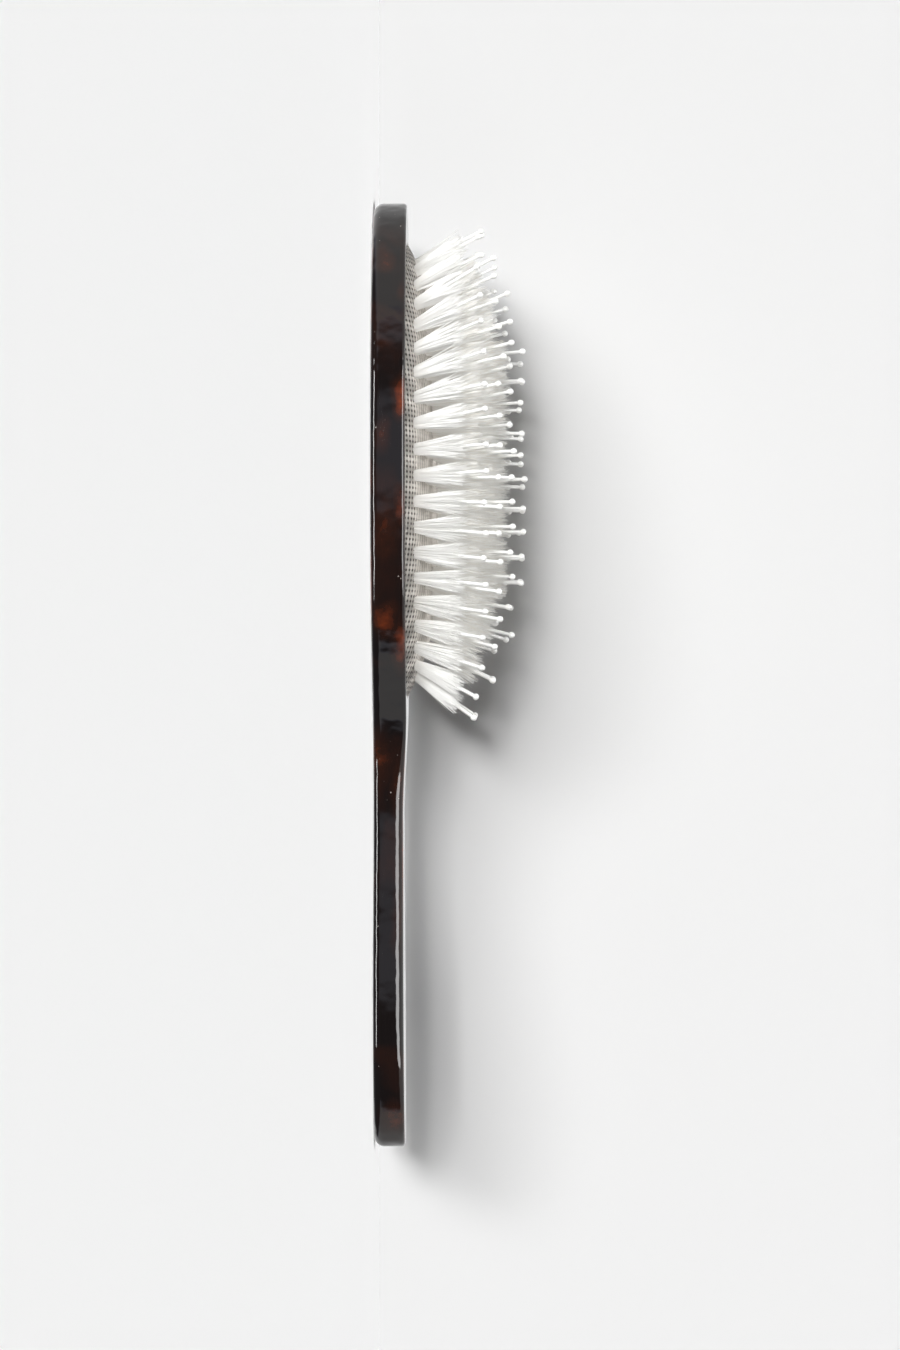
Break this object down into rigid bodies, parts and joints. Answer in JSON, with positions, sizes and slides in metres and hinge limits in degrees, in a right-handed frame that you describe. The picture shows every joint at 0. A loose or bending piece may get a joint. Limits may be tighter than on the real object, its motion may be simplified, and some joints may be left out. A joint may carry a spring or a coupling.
{
  "type": "hair brush",
  "caption": "Oval cushion hair brush with a flat tortoiseshell acetate head and handle, and white nylon tufts with ball-tipped pins on a domed air cushion.",
  "frame": {"origin": "on the flat back face, under the middle of the brush's length", "axes": "+X along the brush from the head towards the butt of the handle, +Z out of the bristle side, +Y across the brush"},
  "size_m": [0.23, 0.073, 0.0366],
  "materials": {
    "acetate": "polished tortoiseshell pattern, near black with amber patches",
    "rubber": "matt natural rubber",
    "facing": "off-white open weave",
    "nylon": "white translucent nylon"
  },
  "bodies": {
    "body": {"handle": "acetate", "cushion_membrane": "rubber", "facing_rim": "facing"},
    "outer_row": {"outer_tufts_1": "nylon", "outer_tufts_2": "nylon", "outer_tufts_3": "nylon", "outer_tufts_4": "nylon", "outer_tufts_5": "nylon", "outer_tufts_6": "nylon", "outer_tufts_7": "nylon", "outer_tufts_8": "nylon"},
    "second_row": {"second_tufts_1": "nylon", "second_tufts_2": "nylon", "second_tufts_3": "nylon", "second_tufts_4": "nylon", "second_tufts_5": "nylon", "second_tufts_6": "nylon", "second_tufts_7": "nylon", "second_tufts_8": "nylon"},
    "third_row": {"third_tufts_1": "nylon", "third_tufts_2": "nylon", "third_tufts_3": "nylon", "third_tufts_4": "nylon"},
    "centre_row": {"centre_tufts_1": "nylon", "centre_tufts_2": "nylon"}
  },
  "joints": [
    {"name": "cushion_press", "type": "slide", "parent": "body", "child": "centre_row", "axis": [0, 0, -1], "range_m": [0, 0.0036], "stiffness_N_per_m": 900, "deforming": ["cushion_membrane"]},
    {"name": "outer_row_give", "type": "slide", "parent": "body", "child": "outer_row", "axis": [0, 0, -1], "range_m": [0, 0.0012], "stiffness_N_per_m": 600},
    {"name": "second_row_give", "type": "slide", "parent": "body", "child": "second_row", "axis": [0, 0, -1], "range_m": [0, 0.00242], "stiffness_N_per_m": 600},
    {"name": "third_row_give", "type": "slide", "parent": "body", "child": "third_row", "axis": [0, 0, -1], "range_m": [0, 0.00321], "stiffness_N_per_m": 600}
  ],
  "couplings": [
    {"joint": "outer_row_give", "follows": "cushion_press", "ratio": 0.3343},
    {"joint": "second_row_give", "follows": "cushion_press", "ratio": 0.67159},
    {"joint": "third_row_give", "follows": "cushion_press", "ratio": 0.89119}
  ]
}
